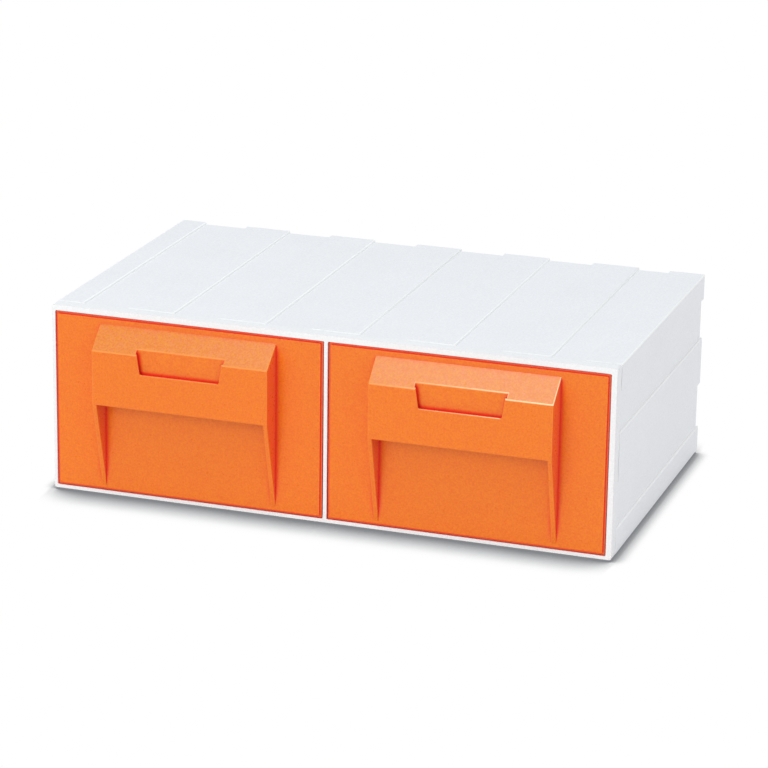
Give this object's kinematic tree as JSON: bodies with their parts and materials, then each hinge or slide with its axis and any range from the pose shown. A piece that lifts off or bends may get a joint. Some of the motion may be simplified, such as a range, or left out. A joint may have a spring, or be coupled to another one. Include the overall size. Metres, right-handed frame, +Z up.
{
  "type": "cd storage drawer",
  "caption": "Low moulded storage cabinet for disc cases, with side-by-side drawers, hooded finger pulls with card pockets, and shallow bands that link stacked cases.",
  "frame": {"origin": "centre of the bounding box in X and Y, on the surface that the cabinet stands on", "axes": "+X to the right seen from the front, -Y out of the drawer fronts, +Z up"},
  "size_m": [0.4218, 0.267, 0.1408],
  "materials": {
    "white_plastic": "matte",
    "orange_plastic": "matte"
  },
  "bodies": {
    "case": {"case_shell": "white_plastic", "front_frame": "white_plastic", "centre_partition": "white_plastic", "back_panel": "white_plastic"},
    "left_drawer": {"left_tray": "orange_plastic", "left_front": "orange_plastic", "left_divider": "white_plastic"},
    "right_drawer": {"right_tray": "orange_plastic", "right_front": "orange_plastic", "right_divider": "white_plastic"}
  },
  "joints": [
    {"name": "left_drawer_slide", "type": "slide", "parent": "case", "child": "left_drawer", "axis": [0, -1, 0], "range_m": [0, 0.183]},
    {"name": "right_drawer_slide", "type": "slide", "parent": "case", "child": "right_drawer", "axis": [0, -1, 0], "range_m": [0, 0.183]}
  ]
}
